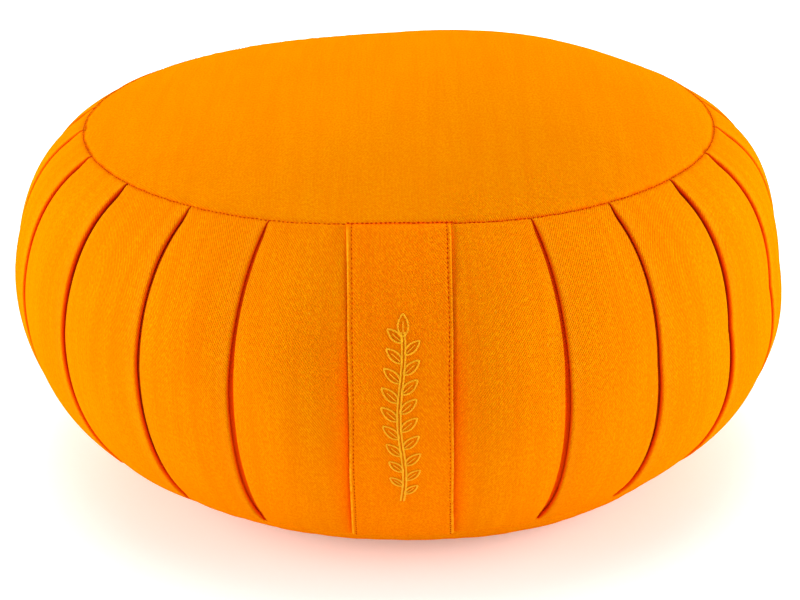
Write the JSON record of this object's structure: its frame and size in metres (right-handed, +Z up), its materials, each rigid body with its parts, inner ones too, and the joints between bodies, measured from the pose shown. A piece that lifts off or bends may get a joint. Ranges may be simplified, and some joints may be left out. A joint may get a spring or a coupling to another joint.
{
  "type": "zafu meditation cushion",
  "caption": "Firm round floor cushion with a domed top panel, a knife-pleated bulging side and a flat vertical band down its front.",
  "frame": {"origin": "centre of the bounding box on the plane that the cushion rests on", "axes": "+Z up through the crown, -Y towards the front band, +X to the right of someone who faces the band"},
  "size_m": [0.3498, 0.3497, 0.1645],
  "materials": {
    "side_cloth": "saffron-orange cotton twill, matt, in knife pleats over a firm filling",
    "top_cloth": "saffron-orange cotton twill, matt",
    "base_cloth": "saffron-orange cotton twill, matt",
    "band_cloth": "saffron-orange cotton twill, both long edges folded and topstitched",
    "sewing_thread": "matt orange cotton sewing thread",
    "embroidery_thread": "golden embroidery thread in satin stitch, soft sheen"
  },
  "bodies": {
    "root": {"pleated_body": "side_cloth", "top_panel": "top_cloth", "bottom_panel": "base_cloth", "front_band": "band_cloth"}
  },
  "joints": []
}
